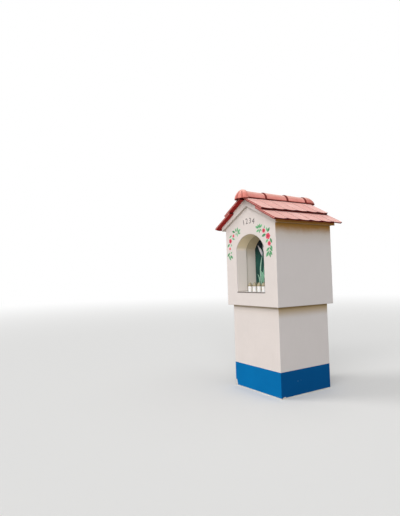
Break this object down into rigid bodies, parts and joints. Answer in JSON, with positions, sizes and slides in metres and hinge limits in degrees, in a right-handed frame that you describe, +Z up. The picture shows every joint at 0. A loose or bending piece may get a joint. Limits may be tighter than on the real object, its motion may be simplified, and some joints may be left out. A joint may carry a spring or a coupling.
{
  "type": "wayside shrine",
  "caption": "Rendered masonry wayside shrine: painted plinth, wider upper body with an arched niche, banded gables and a small plain-tiled roof with ridge tiles.",
  "frame": {"origin": "ground level, centre of the footprint", "axes": "+Z up, the niche faces -Y, +X to the right of a person facing the niche"},
  "size_m": [1.1648, 1.2748, 2.3741],
  "materials": {
    "white_render": "matte, smooth lime render painted white",
    "blue_painted_render": "matte blue masonry paint",
    "bare_concrete": "matte, rough",
    "sill_slab": "matte",
    "painted_board": "satin oil paint",
    "candle_cup": "satin, slightly translucent white",
    "candle_lid": "gold lacquer",
    "tile_mortar": "matte, tinted mortar",
    "clay_tile": "matte fired clay with a pale sheen",
    "clay_ridge": "matte fired clay"
  },
  "bodies": {
    "root": {"footing": "bare_concrete", "plinth": "blue_painted_render", "shaft": "white_render", "base_course": "white_render", "front_wall": "white_render", "left_wall": "white_render", "right_wall": "white_render", "rear_wall": "white_render", "niche_vault": "white_render", "niche_back": "white_render", "front_left_rake": "white_render", "front_right_rake": "white_render", "rear_left_rake": "white_render", "rear_right_rake": "white_render", "left_cornice": "white_render", "right_cornice": "white_render", "roof_core": "bare_concrete", "niche_sill": "sill_slab", "picture_board": "painted_board", "candle_1": "candle_cup", "candle_2": "candle_cup", "candle_3": "candle_cup", "candle_4": "candle_cup", "candle_lid_1": "candle_lid", "candle_lid_2": "candle_lid", "candle_lid_3": "candle_lid", "candle_lid_4": "candle_lid", "left_bedding": "tile_mortar", "right_bedding": "tile_mortar", "ridge_mortar": "tile_mortar", "left_lower_bed_tiles": "clay_tile", "left_lower_cover_tiles": "clay_tile", "left_upper_bed_tiles": "clay_tile", "left_upper_cover_tiles": "clay_tile", "right_lower_bed_tiles": "clay_tile", "right_lower_cover_tiles": "clay_tile", "right_upper_bed_tiles": "clay_tile", "right_upper_cover_tiles": "clay_tile", "ridge_tile_1": "clay_ridge", "ridge_tile_2": "clay_ridge", "ridge_tile_3": "clay_ridge", "front_ridge_cap": "clay_ridge", "rear_ridge_cap": "clay_ridge"}
  },
  "joints": []
}
